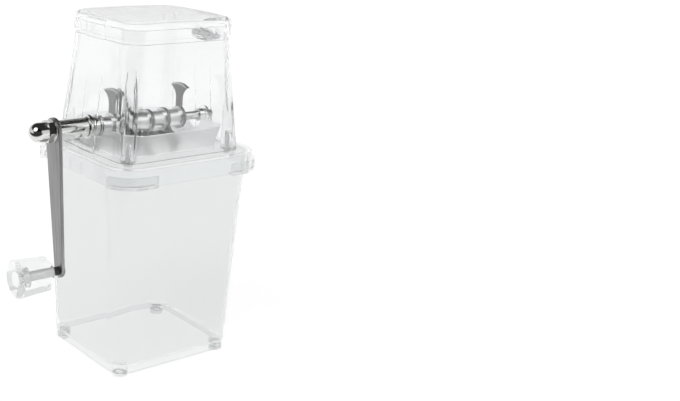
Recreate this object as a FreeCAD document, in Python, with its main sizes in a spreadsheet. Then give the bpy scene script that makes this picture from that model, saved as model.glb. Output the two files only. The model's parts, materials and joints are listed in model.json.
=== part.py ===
import FreeCAD, Part
import math
import os
import re

import Sketcher

# Hand cranked ice shaver: a clear tub catches the ice, a clear head stands on it and holds the
# crushing shaft, and a hinged lid closes the hopper of the head.
# Millimetres. +Z is up, +X runs along the shaft away from the crank, -Y is the front.
# The origin is the centre of the footprint, on the surface that the four feet stand on.

SIZES = {
    # General
    "wall": 2.2,
    "seat_gap": 0.3,
    "fit_gap": 0.05,
    "lap": 1.0,
    # Feet
    "foot_height": 2.6,
    "foot_radius": 5.2,
    "foot_inset": 8.4,
    "foot_spigot_radius": 2.5,
    "foot_spigot_height": 2.0,
    # Tub
    "plinth_height": 4.6,
    "plinth_inset": 0.8,
    "plinth_wall": 3.0,
    "tub_base_x": 51.6,
    "tub_base_y": 46.0,
    "tub_base_corner": 14.0,
    "tub_mouth_x": 57.7,
    "tub_mouth_y": 52.0,
    "tub_mouth_corner": 16.5,
    "tub_height": 146.0,
    "tub_floor": 2.2,
    "ear_wall": 2.6,
    "ear_gap": 1.0,
    "ear_flange": 1.5,
    "ear_height": 8.3,
    "ear_start_x": 31.8,
    "ear_start_y": 42.3,
    # Crusher base: collar, floor plate and funnel
    "skirt_x": 60.7,
    "skirt_y": 55.0,
    "skirt_corner": 18.5,
    "skirt_wall": 2.3,
    "skirt_height": 11.3,
    "lip_height": 3.0,
    "lip_overhang": 0.7,
    "plate_thickness": 2.5,
    "tongue_half_width": 7.2,
    "tongue_slot": 1.2,
    "tongue_height": 8.7,
    "funnel_top_x": 42.2,
    "funnel_top_y": 39.4,
    "funnel_top_corner": 16.0,
    "funnel_foot_x": 41.0,
    "funnel_foot_y": 28.2,
    "funnel_foot_corner": 8.0,
    "funnel_drop": 0.4,
    "funnel_wall": 2.0,
    "shaft_notch_radius": 8.5,
    # Hopper
    "hopper_foot_x": 51.4,
    "hopper_foot_y": 45.7,
    "hopper_foot_corner": 12.0,
    "hopper_neck_x": 44.8,
    "hopper_neck_y": 39.1,
    "hopper_neck_corner": 14.0,
    "hopper_height": 77.8,
    "rim_step": 1.6,
    "rim_wall": 1.8,
    "rim_height": 9.2,
    "post_radius": 5.0,
    "post_x": 42.7,
    "post_y": 37.3,
    "pad_half_width": 9.0,
    "pad_rise": 1.6,
    "pad_height": 57.0,
    "boss_radius": 8.4,
    "boss_face": 52.3,
    "right_boss_radius": 6.4,
    # Screws
    "screw_radius": 1.5,
    "screw_head_radius": 2.8,
    "screw_head_height": 2.2,
    "hopper_screw_length": 14.5,
    "comb_screw_length": 6.5,
    "comb_screw_x": 30.0,
    "comb_screw_y": 34.5,
    "comb_boss_radius": 3.2,
    "comb_boss_cap": 1.0,
    "screw_tip_gap": 1.0,
    # Lid
    "lid_x": 45.7,
    "lid_y": 40.0,
    "lid_corner": 14.0,
    "lid_wall": 1.9,
    "lid_skirt_gap": 2.8,
    "lid_height": 13.4,
    "lid_crown_radius": 1400.0,
    "lid_edge_radius": 4.6,
    "tab_half_width": 11.2,
    "tab_thickness": 2.2,
    "tab_drop": 2.4,
    "tab_height": 13.0,
    "hinge_offset": 3.8,
    "hinge_drop": 3.2,
    "knuckle_radius": 3.2,
    "knuckle_inner": 6.2,
    "knuckle_gap": 0.3,
    "knuckle_outer": 14.0,
    "hinge_pin_radius": 1.5,
    "hinge_pin_overhang": 0.4,
    # Shaft and what turns with it
    "axis_rise": 17.0,
    "journal_radius": 5.7,
    "core_side": 7.9,
    "tail_radius": 3.0,
    "tail_end": 57.0,
    "thread_radius": 3.9,
    "blade_count": 5,
    "blade_pitch": 14.0,
    "blade_start": -31.3,
    "blade_thickness": 2.6,
    "blade_hub_radius": 8.1,
    "blade_reach": 25.3,
    "blade_tip_radius": 20.0,
    "blade_tip_half_width": 10.0,
    "blade_neck_half_width": 2.6,
    "blade_neck_top": 14.5,
    "blade_flank_radius": 9.0,
    "blade_angle_1": 0,
    "blade_angle_2": 225,
    "blade_angle_3": 180,
    "blade_angle_4": 135,
    "blade_angle_5": 0,
    "spacer_radius": 6.25,
    "clip_thickness": 1.0,
    "clip_rise": 2.2,
    "clip_groove": 0.6,
    "clip_opening": 3.0,
    # Bearings
    "bush_barrel_radius": 6.5,
    "bush_flange_radius": 7.6,
    "bush_flange": 1.1,
    "bush_inner": 43.2,
    "tail_bush_radius": 4.5,
    "tail_bush_end": 54.5,
    "thrust_washer_radius": 7.2,
    "thrust_washer": 1.2,
    # Comb
    "comb_thickness": 2.0,
    "comb_half_length": 38.5,
    "comb_front": 28.0,
    "comb_back": 38.0,
    "tooth_thickness": 3.0,
    "tooth_root": 21.8,
    "tooth_peak_y": 19.5,
    "tooth_peak": 7.5,
    "tooth_tip_y": 6.0,
    "tooth_tip": 5.0,
    # Crank
    "crank_sleeve_radius": 6.8,
    "crank_sleeve_length": 23.4,
    "sleeve_chamfer": 0.5,
    "arm_thickness": 2.5,
    "arm_eye_radius": 9.0,
    "arm_toe_radius": 5.0,
    "crank_radius": 97.2,
    "crank_lean": 6.5,
    "nut_washer": 1.0,
    "nut_washer_radius": 8.0,
    "nut_flats": 14.0,
    "nut_hex_length": 4.7,
    "nut_chamfer": 0.7,
    "nut_neck_length": 4.9,
    "nut_dome_radius": 6.8,
    "nut_bore_depth": 11.0,
    # Knob
    "knob_pin_radius": 2.5,
    "knob_pin_neck_radius": 3.0,
    "knob_pin_head_radius": 4.6,
    "knob_pin_head": 3.0,
    "knob_pin_tail_radius": 4.0,
    "knob_pin_tail": 1.0,
    "knob_standoff": 7.0,
    "knob_length": 26.3,
    "knob_outer_radius": 13.6,
    "knob_inner_radius": 12.0,
    "knob_nose_radius": 8.0,
    "knob_nose_length": 3.2,
    "knob_edge": 0.8,
    "knob_pocket_radius": 5.4,
    "knob_pocket_depth": 8.0,
}

# Places that follow from the sizes above. Each may use those before it.
PLACES = {
    "plinth_top": "foot_height + plinth_height",
    "tub_top": "plinth_top + tub_height",
    "plate_under": "tub_top + seat_gap",
    "deck": "plate_under + plate_thickness",
    "axis_height": "deck + axis_rise",
    "lip_under": "deck - lip_height",
    "skirt_under": "lip_under - skirt_height",
    "ear_x": "skirt_x + ear_gap",
    "ear_y": "skirt_y + ear_gap",
    "ear_corner": "skirt_corner + ear_gap",
    "ear_floor": "skirt_under + ear_flange",
    "funnel_top": "axis_height - funnel_drop",
    "hopper_top": "deck + hopper_height",
    "rim_x": "hopper_neck_x - rim_step",
    "rim_y": "hopper_neck_y - rim_step",
    "rim_corner": "hopper_neck_corner - rim_step",
    "rim_top": "hopper_top + rim_height",
    "lid_under": "hopper_top + lid_skirt_gap",
    "lid_top": "lid_under + lid_height",
    "hinge_x": "lid_x + hinge_offset",
    "hinge_z": "lid_under - hinge_drop",
    "screw_hole": "screw_radius + fit_gap",
    "core_half": "core_side / 2",
    "blade_bore": "core_half + fit_gap",
    "blade_end": "blade_start + (blade_count - 1) * blade_pitch + blade_thickness",
    "journal_bore": "journal_radius + fit_gap",
    "tail_bore": "tail_radius + fit_gap",
    "bush_face": "boss_face + bush_flange",
    "sleeve_start": "bush_face + seat_gap",
    "arm_seat": "sleeve_start + crank_sleeve_length",
    "arm_face": "arm_seat + arm_thickness",
    "nut_seat": "arm_face + nut_washer",
    "nut_hex_end": "nut_seat + nut_hex_length",
    "nut_neck_end": "nut_hex_end + nut_neck_length",
    "thread_end": "nut_seat + nut_bore_depth - screw_tip_gap",
    "knob_y": "-crank_radius * sin(crank_lean)",
    "knob_z": "axis_height - crank_radius * cos(crank_lean)",
    "knob_start": "arm_face + knob_standoff",
    "knob_end": "knob_start + knob_length",
    "knob_pocket": "knob_end - knob_pocket_depth",
    "knob_bore": "knob_pin_radius + fit_gap",
    "comb_under": "plate_under - comb_thickness",
    "washer_start": "-bush_inner + seat_gap",
    "washer_end": "washer_start + thrust_washer",
    "spacer_bore": "core_half * sqrt(2) + fit_gap",
}

doc = FreeCAD.newDocument("ice_shaver")
sheet = doc.addObject("Spreadsheet::Sheet", "Sizes")
for row, (size_name, number) in enumerate(SIZES.items(), start=1):
    sheet.set(f"A{row}", size_name)
    sheet.set(f"B{row}", str(number))
    sheet.setAlias(f"B{row}", size_name)
doc.recompute()

SIDES = (-1, 1)
CORNERS = [(side, end) for side in SIDES for end in SIDES]
TURN_TO = {
    "x": FreeCAD.Rotation(FreeCAD.Vector(0, 1, 0), 90),
    "y": FreeCAD.Rotation(FreeCAD.Vector(1, 0, 0), -90),
    "z": FreeCAD.Rotation(),
}


def formula(text):
    """Write size names as cells of the sheet, and places as the sizes that they follow from."""
    def word(match):
        name = match.group(0)
        if name in PLACES:
            return "(" + formula(PLACES[name]) + ")"
        return "Sizes." + name if name in SIZES else name
    return re.sub(r"[A-Za-z_]\w*", word, str(text))


def tagged(stem, *signs):
    """The name of one copy of a piece, from the signs of its place: m for minus and p for plus."""
    return "_".join([stem] + ["p" if sign > 0 else "m" for sign in signs])


def bind(item, **properties):
    """Tie properties of an object to formulas. A double underscore stands for a dot."""
    for name, text in properties.items():
        item.setExpression(name.replace("__", "."), formula(text))
    return item


def place(item, x="0", y="0", z="0"):
    """Tie an object's place to formulas."""
    return bind(item, Placement__Base__x=x, Placement__Base__y=y, Placement__Base__z=z)


def box(name, x, y, z):
    """A block between two formulas on each axis."""
    block = doc.addObject("Part::Box", name)
    bind(block, Length=f"({x[1]}) - ({x[0]})", Width=f"({y[1]}) - ({y[0]})", Height=f"({z[1]}) - ({z[0]})")
    return place(block, x[0], y[0], z[0])


def cylinder(name, axis, radius, ends, x="0", y="0", z="0"):
    """A cylinder along an axis, between the two formulas of its ends."""
    rod = doc.addObject("Part::Cylinder", name)
    rod.Placement = FreeCAD.Placement(FreeCAD.Vector(), TURN_TO[axis])
    bind(rod, Radius=radius, Height=f"({ends[1]}) - ({ends[0]})")
    centre = {"x": x, "y": y, "z": z}
    centre[axis] = ends[0]
    return place(rod, **centre)


def fuse(name, pieces):
    """One solid made of several that meet."""
    union = doc.addObject("Part::MultiFuse", name)
    union.Shapes = pieces
    union.Refine = True
    return union


def cut(name, base, tools):
    """A solid with the tools taken out of it."""
    cavity = tools[0] if len(tools) == 1 else fuse(name + "_cavity", tools)
    remainder = doc.addObject("Part::Cut", name)
    remainder.Base = base
    remainder.Tool = cavity
    remainder.Refine = True
    return remainder


def shared(name, first, second):
    """The space that two solids share."""
    overlap = doc.addObject("Part::MultiCommon", name)
    overlap.Shapes = [first, second]
    return overlap


def group(name, pieces):
    """Several separate solids of one kind, kept as one node."""
    collection = doc.addObject("Part::Compound", name)
    collection.Links = pieces
    return collection


def tilt(item, degrees):
    """Turn an object about X by a formula."""
    item.Placement.Rotation = FreeCAD.Rotation(FreeCAD.Vector(1, 0, 0), 1)
    return bind(item, Placement__Rotation__Angle=degrees)


def section(name, half_x, half_y, corner, level):
    """A level rounded rectangle about the centre line, as a fully constrained sketch."""
    sketch = doc.addObject("Sketcher::SketchObject", name)
    at_x, at_y, at_r = 50.0, 45.0, 12.0  # drawn near its size, before the constraints drive it
    corners = [(at_x, -at_y), (at_x, at_y), (-at_x, at_y), (-at_x, -at_y)]
    along = [(1, 0), (0, 1), (-1, 0), (0, -1)]
    for side in range(4):
        start = FreeCAD.Vector(*corners[side - 1], 0) + FreeCAD.Vector(*along[side], 0) * at_r
        end = FreeCAD.Vector(*corners[side], 0) - FreeCAD.Vector(*along[side], 0) * at_r
        sketch.addGeometry(Part.LineSegment(start, end))
    for side in range(4):
        inward = FreeCAD.Vector(*along[(side + 1) % 4], 0) - FreeCAD.Vector(*along[side], 0)
        centre = FreeCAD.Vector(*corners[side], 0) + inward * at_r
        add_arc(sketch, (centre.x, centre.y), at_r, (side - 1) * 90, side * 90)
    for side in range(4):
        sketch.addConstraint(Sketcher.Constraint("Tangent", side, 2, 4 + side, 1))
        sketch.addConstraint(Sketcher.Constraint("Tangent", 4 + side, 2, (side + 1) % 4, 1))
        sketch.addConstraint(Sketcher.Constraint("Vertical" if side % 2 else "Horizontal", side))
    for arc in (5, 6, 7):
        sketch.addConstraint(Sketcher.Constraint("Equal", 4, arc))
    sketch.addConstraint(Sketcher.Constraint("Symmetric", 4, 3, 6, 3, -1, 1))
    driving = (
        ("corner", Sketcher.Constraint("Radius", 4, at_r), corner),
        ("half_x", Sketcher.Constraint("DistanceX", -1, 1, 1, 1, at_x), half_x),
        ("half_y", Sketcher.Constraint("DistanceY", -1, 1, 2, 1, at_y), half_y),
    )
    for title, constraint, text in driving:
        tie(sketch, title, constraint, text)
    return place(sketch, z=level)


def tapered(name, sections):
    """A solid through level rounded rectangles: (half_x, half_y, corner, level) each."""
    loft = doc.addObject("Part::Loft", name)
    loft.Sections = [section(f"{name}_{index}", *sizes) for index, sizes in enumerate(sections)]
    loft.Solid = True
    loft.Ruled = True
    return loft


def straight(name, half_x, half_y, corner, levels):
    """An upright solid with one rounded rectangle for its section."""
    return tapered(name, [(half_x, half_y, corner, level) for level in levels])


def new_body(name):
    """An empty body for a piece that is cut, pressed or turned."""
    body = doc.addObject("PartDesign::Body", name)
    body.Label = name
    return body


def sketch_on(body, role, name):
    """A sketch on one of the origin planes of a body."""
    sketch = body.newObject("Sketcher::SketchObject", name)
    plane = next(feature for feature in body.Origin.OriginFeatures if feature.Role == role)
    sketch.AttachmentSupport = [(plane, "")]
    sketch.MapMode = "FlatFace"
    return sketch


def tie(sketch, title, constraint, text):
    """Add a named constraint whose size follows a formula."""
    sketch.renameConstraint(sketch.addConstraint(constraint), title)
    sketch.setExpression("Constraints." + title, formula(text))


def set_radius(sketch, title, edge, text):
    """Tie the radius of a circle or an arc to a formula."""
    drawn = sketch.Geometry[edge].Radius
    tie(sketch, title + "_radius", Sketcher.Constraint("Radius", edge, drawn), text)


def pin_point(sketch, title, edge, end, u, v):
    """Tie one end of an edge to two formulas, measured from the sketch's origin."""
    drawn = sketch.getPoint(edge, end)
    for kind, text, distance in (("DistanceX", u, drawn.x), ("DistanceY", v, drawn.y)):
        tie(sketch, title + "_" + kind, Sketcher.Constraint(kind, -1, 1, edge, end, distance), text)


def add_arc(sketch, centre, radius, start, end):
    """Draw an arc anticlockwise between two angles in degrees, ready to be tied."""
    circle = Part.Circle(FreeCAD.Vector(*centre, 0), FreeCAD.Vector(0, 0, 1), radius)
    sketch.addGeometry(Part.ArcOfCircle(circle, math.radians(start), math.radians(end)))


def span_arc(sketch, start, end, radius):
    """Draw the arc of this radius that runs anticlockwise from one point to another."""
    chord = end - start
    left = FreeCAD.Vector(-chord.y, chord.x, 0).normalize()
    centre = (start + end) / 2 + left * math.sqrt(radius ** 2 - (chord.Length / 2) ** 2)
    angles = [math.degrees(math.atan2(point.y - centre.y, point.x - centre.x)) for point in (start, end)]
    add_arc(sketch, (centre.x, centre.y), radius, *angles)


def outline(body, role, name, corners):
    """A closed outline of straight edges with its corners at pairs of formulas."""
    sketch = sketch_on(body, role, name)
    count = len(corners)
    for index in range(count):
        start = FreeCAD.Vector(index, index % 2, 0)
        sketch.addGeometry(Part.LineSegment(start, FreeCAD.Vector(index + 1, 0, 0)))
    for index in range(count):
        sketch.addConstraint(Sketcher.Constraint("Coincident", index, 2, (index + 1) % count, 1))
        pin_point(sketch, f"p{index}", index, 1, *corners[index])
    return sketch


def disc(body, role, name, radius, u="0", v="0"):
    """A circle, placed by two formulas."""
    sketch = sketch_on(body, role, name)
    sketch.addGeometry(Part.Circle(FreeCAD.Vector(), FreeCAD.Vector(0, 0, 1), 1.0))
    set_radius(sketch, "circle", 0, radius)
    pin_point(sketch, "centre", 0, 3, u, v)
    return sketch


def pad(body, sketch, length):
    """Thicken a sketch away from its plane."""
    feature = body.newObject("PartDesign::Pad", sketch.Name + "_pad")
    feature.Profile = sketch
    return bind(feature, Length=length)


def turn(body, sketch):
    """Turn a profile about the sketch's horizontal axis."""
    feature = body.newObject("PartDesign::Revolution", sketch.Name + "_turn")
    feature.Profile = sketch
    feature.ReferenceAxis = (sketch, ["H_Axis"])
    feature.Angle = 360
    return feature


def turned_along_x(name, profile, y="0", z="axis_height"):
    """A turned piece on an axis along X: its profile is (distance along X, radius) pairs."""
    body = new_body(name)
    turn(body, outline(body, "XZ_Plane", name + "_profile", profile))
    return place(body, y=y, z=z)


def grown(sizes, margin, level):
    """The section (half_x, half_y, corner) made larger all round, at a level."""
    return tuple(f"{size} + ({margin})" for size in sizes) + (level,)


# ---------------------------------------------------------------------------------------------
# Tub: a tapered clear box with a plinth ring below and an upturned ear round each mouth corner
# ---------------------------------------------------------------------------------------------
TUB_BASE = ("tub_base_x", "tub_base_y", "tub_base_corner")
TUB_MOUTH = ("tub_mouth_x", "tub_mouth_y", "tub_mouth_corner")
EAR = ("ear_x", "ear_y", "ear_corner")

tub_outside = tapered("tub_outside", [TUB_BASE + ("plinth_top",), TUB_MOUTH + ("tub_top",)])
tub_inside = tapered("tub_inside", [
    grown(TUB_BASE, "-wall", "plinth_top + tub_floor"),
    grown(TUB_MOUTH, "-wall", "tub_top"),
])
plinth = straight("plinth", *grown(TUB_BASE, "-plinth_inset", "")[:3], ("foot_height", "plinth_top"))
plinth_hollow = straight("plinth_hollow", *grown(TUB_BASE, "-plinth_inset - plinth_wall", "")[:3],
                         ("foot_height", "plinth_top"))
foot_seats = []
for side, end in CORNERS:
    seat = cylinder(tagged("foot_seat", side, end), "z", "foot_radius", ("foot_height", "plinth_top"),
                    f"{side} * (tub_base_x - foot_inset)", f"{end} * (tub_base_y - foot_inset)")
    foot_seats.append(seat)
foot_sockets = []
for side, end in CORNERS:
    socket = cylinder(tagged("foot_socket", side, end), "z", "foot_spigot_radius + fit_gap",
                      ("foot_height", "foot_height + foot_spigot_height + fit_gap"),
                      f"{side} * (tub_base_x - foot_inset)", f"{end} * (tub_base_y - foot_inset)")
    foot_sockets.append(socket)
plinth_ring = fuse("plinth_ring", [cut("plinth_wall_ring", plinth, [plinth_hollow])] + foot_seats)

ear_block = straight("ear_block", *grown(EAR, "ear_wall", "")[:3],
                     ("skirt_under", "skirt_under + ear_height"))
ear_channel = straight("ear_channel", *EAR, ("ear_floor", "skirt_under + ear_height"))
ear_ring = cut("ear_ring", ear_block, [ear_channel])
ear_corners = []
for side, end in CORNERS:
    x_ends = [f"{side} * ear_start_x", f"{side} * (ear_x + 2 * ear_wall)"][::side]
    y_ends = [f"{end} * ear_start_y", f"{end} * (ear_y + 2 * ear_wall)"][::end]
    ear_corners.append(box(tagged("ear_zone", side, end), x_ends, y_ends, ("skirt_under", "tub_top")))
ears = shared("ears", ear_ring, group("ear_zones", ear_corners))
ice_container = cut("ice_container", fuse("tub_solid", [tub_outside, plinth_ring, ears]),
                    [tub_inside] + foot_sockets)

# Feet: four soft clear buttons with a spigot pressed up into the plinth
feet_list = []
for side, end in CORNERS:
    foot_name = tagged("foot", side, end)
    spot = (f"{side} * (tub_base_x - foot_inset)", f"{end} * (tub_base_y - foot_inset)")
    button = cylinder(foot_name + "_button", "z", "foot_radius", ("0", "foot_height"), *spot)
    spigot = cylinder(foot_name + "_spigot", "z", "foot_spigot_radius",
                      ("foot_height", "foot_height + foot_spigot_height"), *spot)
    feet_list.append(fuse(foot_name, [button, spigot]))
feet = group("feet", feet_list)

# ---------------------------------------------------------------------------------------------
# Crusher base: a collar that fits over the tub's mouth, its deck, and the funnel round the blades
# ---------------------------------------------------------------------------------------------
SKIRT = ("skirt_x", "skirt_y", "skirt_corner")
FUNNEL_TOP = ("funnel_top_x", "funnel_top_y", "funnel_top_corner")
FUNNEL_FOOT = ("funnel_foot_x", "funnel_foot_y", "funnel_foot_corner")

skirt = straight("skirt", *SKIRT, ("skirt_under", "deck"))
lip = straight("lip", *grown(SKIRT, "lip_overhang", "")[:3], ("lip_under", "deck"))
skirt_hollow = straight("skirt_hollow", *grown(SKIRT, "-skirt_wall", "")[:3],
                        ("skirt_under", "plate_under"))
collar = cut("collar", fuse("collar_block", [skirt, lip]), [skirt_hollow])
funnel_outside = tapered("funnel_outside", [FUNNEL_FOOT + ("plate_under",), FUNNEL_TOP + ("funnel_top",)])
funnel_inside = tapered("funnel_inside", [
    grown(FUNNEL_FOOT, "-funnel_wall", "plate_under"),
    grown(FUNNEL_TOP, "-funnel_wall", "funnel_top"),
])
comb_bosses = [cylinder(tagged("comb_boss", side), "z", "comb_boss_radius",
                        ("deck - lap", "plate_under + comb_screw_length"),
                        f"{side} * comb_screw_x", "comb_screw_y")
               for side in SIDES]
shaft_notch = cylinder("shaft_notch", "x", "shaft_notch_radius",
                       ("-funnel_top_x - lap", "funnel_top_x + lap"), z="axis_height")
tongue_slots = []
for side, end in CORNERS:
    x_ends = [f"{side} * (skirt_x - skirt_wall - lap)", f"{side} * (skirt_x + lap)"][::side]
    middle = f"{end} * tongue_half_width"
    y_ends = (f"{middle} - tongue_slot / 2", f"{middle} + tongue_slot / 2")
    tongue_slots.append(box(tagged("tongue_slot", side, end), x_ends, y_ends,
                            ("skirt_under", "skirt_under + tongue_height")))
ear_notches = []
for side, end in CORNERS:
    x_ends = [f"{side} * (ear_start_x - ear_gap)", f"{side} * (skirt_x + lap)"][::side]
    y_ends = [f"{end} * (ear_start_y - ear_gap)", f"{end} * (skirt_y + lap)"][::end]
    ear_notches.append(box(tagged("ear_notch", side, end), x_ends, y_ends,
                           ("skirt_under", "ear_floor + seat_gap")))
base_screw_holes = [cylinder(tagged("base_screw_hole", side, end), "z", "screw_hole",
                             ("plate_under", "deck"), f"{side} * post_x", f"{end} * post_y")
                    for side, end in CORNERS]
comb_screw_holes = [cylinder(tagged("comb_screw_hole", side), "z", "screw_hole",
                             ("plate_under", "plate_under + comb_screw_length - comb_boss_cap + fit_gap"),
                             f"{side} * comb_screw_x", "comb_screw_y")
                    for side in SIDES]
crusher_base = cut("crusher_base",
                   fuse("base_solid", [collar, funnel_outside] + comb_bosses),
                   [funnel_inside, shaft_notch] + tongue_slots + ear_notches
                   + base_screw_holes + comb_screw_holes)

# ---------------------------------------------------------------------------------------------
# Hopper: a tapered clear shaft with a screw post in each corner, a thinner rim that the lid fits
# over, and the middle knuckle of the lid's hinge. The pad outside each end wall stands out by
# pad_rise at the deck and fades into the wall at pad_height.
# ---------------------------------------------------------------------------------------------
HOPPER_FOOT = ("hopper_foot_x", "hopper_foot_y", "hopper_foot_corner")
HOPPER_NECK = ("hopper_neck_x", "hopper_neck_y", "hopper_neck_corner")
RIM = ("rim_x", "rim_y", "rim_corner")

hopper_outside = tapered("hopper_outside", [HOPPER_FOOT + ("deck",), HOPPER_NECK + ("hopper_top",)])
rim_outside = straight("rim_outside", *RIM, ("hopper_top", "rim_top"))
hopper_inside = tapered("hopper_inside", [
    grown(HOPPER_FOOT, "-wall", "deck"),
    grown(RIM, "-rim_wall", "hopper_top"),
    grown(RIM, "-rim_wall", "rim_top"),
])
posts = [cylinder(tagged("post", side, end), "z", "post_radius", ("deck", "hopper_top"),
                  f"{side} * post_x", f"{end} * post_y")
         for side, end in CORNERS]
pad_slab = tapered("pad_slab", [
    grown(HOPPER_FOOT, "pad_rise", "deck"),
    grown(HOPPER_NECK, "pad_rise * (1 - hopper_height / pad_height)", "hopper_top"),
])
pad_zone = box("pad_zone", ("-boss_face - lap", "boss_face + lap"), ("-pad_half_width", "pad_half_width"),
               ("deck", "hopper_top"))
pads = shared("pads", pad_slab, pad_zone)
hopper_room = cut("hopper_room", hopper_inside, posts)
left_boss = cylinder("left_boss", "x", "boss_radius", ("-boss_face", "-bush_inner - wall"), z="axis_height")
right_boss = cylinder("right_boss", "x", "right_boss_radius", ("bush_inner + wall", "boss_face"),
                      z="axis_height")
left_bore = cylinder("left_bore", "x", "bush_barrel_radius + fit_gap", ("-boss_face", "-bush_inner"),
                     z="axis_height")
right_bore = cylinder("right_bore", "x", "tail_bush_radius + fit_gap", ("bush_inner", "boss_face"),
                      z="axis_height")
post_bores = [cylinder(tagged("post_bore", side, end), "z", "screw_hole",
                       ("deck", "plate_under + hopper_screw_length + screw_tip_gap"),
                       f"{side} * post_x", f"{end} * post_y")
              for side, end in CORNERS]
hopper_knuckle = cylinder("hopper_knuckle", "y", "knuckle_radius", ("-knuckle_inner", "knuckle_inner"),
                          x="hinge_x", z="hinge_z")
hopper_lug = box("hopper_lug", ("rim_x - rim_wall / 2", "hinge_x"), ("-knuckle_inner", "knuckle_inner"),
                 ("hinge_z - knuckle_radius", "hinge_z"))
hopper_hinge_bore = cylinder("hopper_hinge_bore", "y", "hinge_pin_radius + fit_gap",
                             ("-knuckle_inner", "knuckle_inner"), x="hinge_x", z="hinge_z")
hopper_solid = fuse("hopper_solid", [hopper_outside, rim_outside, pads, left_boss, right_boss,
                                     hopper_knuckle, hopper_lug])
hopper = cut("hopper", hopper_solid, [hopper_room, left_bore, right_bore, hopper_hinge_bore] + post_bores)

# ---------------------------------------------------------------------------------------------
# Lid: a shallow crowned cap with a thumb tab over the crank and two hinge knuckles opposite
# ---------------------------------------------------------------------------------------------
LID = ("lid_x", "lid_y", "lid_corner")


def crown(name, depth):
    """The ball whose top forms the crown of the lid, this far below the lid's top."""
    ball = doc.addObject("Part::Sphere", name)
    ball.Placement = FreeCAD.Placement(FreeCAD.Vector(), TURN_TO["x"])
    bind(ball, Radius=f"lid_crown_radius - ({depth})")
    return place(ball, z="lid_top - lid_crown_radius")


def rounded_cap(name, depth):
    """A crowned block this far inside the lid's outside, with its top edge rounded."""
    block = straight(name + "_block", *grown(LID, f"-({depth})", "")[:3], ("lid_under", "lid_top"))
    blank = shared(name + "_blank", block, crown(name + "_crown", depth))
    doc.recompute()
    rounded = doc.addObject("Part::Fillet", name)
    rounded.Base = blank
    radius = sheet.lid_edge_radius - (sheet.lid_wall if depth != "0" else 0)
    middle = (blank.Shape.BoundBox.ZMin + blank.Shape.BoundBox.ZMax) / 2
    rounded.Edges = [(number, radius, radius) for number, edge in enumerate(blank.Shape.Edges, start=1)
                     if edge.BoundBox.ZMin > middle]
    return rounded


lid_shell = rounded_cap("lid_shell", "0")
lid_hollow = rounded_cap("lid_hollow", "lid_wall")
thumb_tab = box("thumb_tab", ("-lid_x - tab_thickness", "-lid_x + lid_wall / 2"),
                ("-tab_half_width", "tab_half_width"), ("lid_under", "lid_under - tab_drop + tab_height"))
thumb_tip = box("thumb_tip", ("-lid_x - tab_thickness", "-lid_x"),
                ("-tab_half_width", "tab_half_width"), ("lid_under - tab_drop", "lid_under"))
lid_parts = [lid_shell, thumb_tab, thumb_tip]
lid_bores = []
for side in SIDES:
    y_ends = [f"{side} * (knuckle_inner + knuckle_gap)", f"{side} * knuckle_outer"][::side]
    lid_parts.append(cylinder(tagged("lid_knuckle", side), "y", "knuckle_radius", y_ends,
                              x="hinge_x", z="hinge_z"))
    lid_parts.append(box(tagged("lid_web", side), ("lid_x - lid_wall / 2", "hinge_x"), y_ends,
                         ("lid_under", "lid_under + lid_wall")))
    lid_parts.append(box(tagged("lid_drop", side), ("lid_x", "hinge_x"), y_ends, ("hinge_z", "lid_under")))
    lid_bores.append(cylinder(tagged("lid_hinge_bore", side), "y", "hinge_pin_radius + fit_gap", y_ends,
                              x="hinge_x", z="hinge_z"))
lid = cut("lid", fuse("lid_solid", lid_parts), [lid_hollow] + lid_bores)

hinge_pin = cylinder("hinge_pin", "y", "hinge_pin_radius",
                     ("-knuckle_outer - hinge_pin_overhang", "knuckle_outer + hinge_pin_overhang"),
                     x="hinge_x", z="hinge_z")

# ---------------------------------------------------------------------------------------------
# Screws: pan heads below the deck, shanks up into the hopper's posts and the comb's bosses
# ---------------------------------------------------------------------------------------------


def screw(name, length, seat, x, y):
    """A pan head screw that points up, with its head under the seat level."""
    head = cylinder(name + "_head", "z", "screw_head_radius", (f"{seat} - screw_head_height", seat), x, y)
    shank = cylinder(name + "_shank", "z", "screw_radius", (seat, f"plate_under + {length}"), x, y)
    return fuse(name, [head, shank])


hopper_screws = group("hopper_screws", [
    screw(tagged("hopper_screw", side, end), "hopper_screw_length", "plate_under",
          f"{side} * post_x", f"{end} * post_y")
    for side, end in CORNERS])
comb_screws = group("comb_screws", [
    screw(tagged("comb_screw", side), "comb_screw_length - comb_boss_cap", "comb_under",
          f"{side} * comb_screw_x", "comb_screw_y")
    for side in SIDES])

# ---------------------------------------------------------------------------------------------
# Comb: a pressed steel bar under the deck, with a tooth between each two blades
# ---------------------------------------------------------------------------------------------
comb_pieces = [box("comb_bar", ("-comb_half_length", "comb_half_length"), ("comb_front", "comb_back"),
                   ("comb_under", "plate_under"))]
for number in range(int(SIZES["blade_count"]) + 1):
    tooth = new_body(f"tooth_{number}")
    tooth_side = outline(tooth, "YZ_Plane", f"tooth_side_{number}", [
        ("comb_front + lap", "0"),
        ("comb_front + lap", "comb_thickness"),
        ("tooth_root", "comb_thickness"),
        ("tooth_peak_y", "tooth_peak"),
        ("tooth_tip_y", "tooth_tip"),
        ("tooth_tip_y", "0"),
    ])
    pad(tooth, tooth_side, "tooth_thickness")
    middle = f"blade_start + blade_thickness / 2 + ({number} - 0.5) * blade_pitch"
    comb_pieces.append(place(tooth, x=f"{middle} - tooth_thickness / 2", z="comb_under"))
comb_holes = [cylinder(tagged("comb_hole", side), "z", "screw_hole", ("comb_under", "plate_under"),
                       f"{side} * comb_screw_x", "comb_screw_y")
              for side in SIDES]
fixed_comb = cut("fixed_comb", fuse("comb_solid", comb_pieces), comb_holes)

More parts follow.
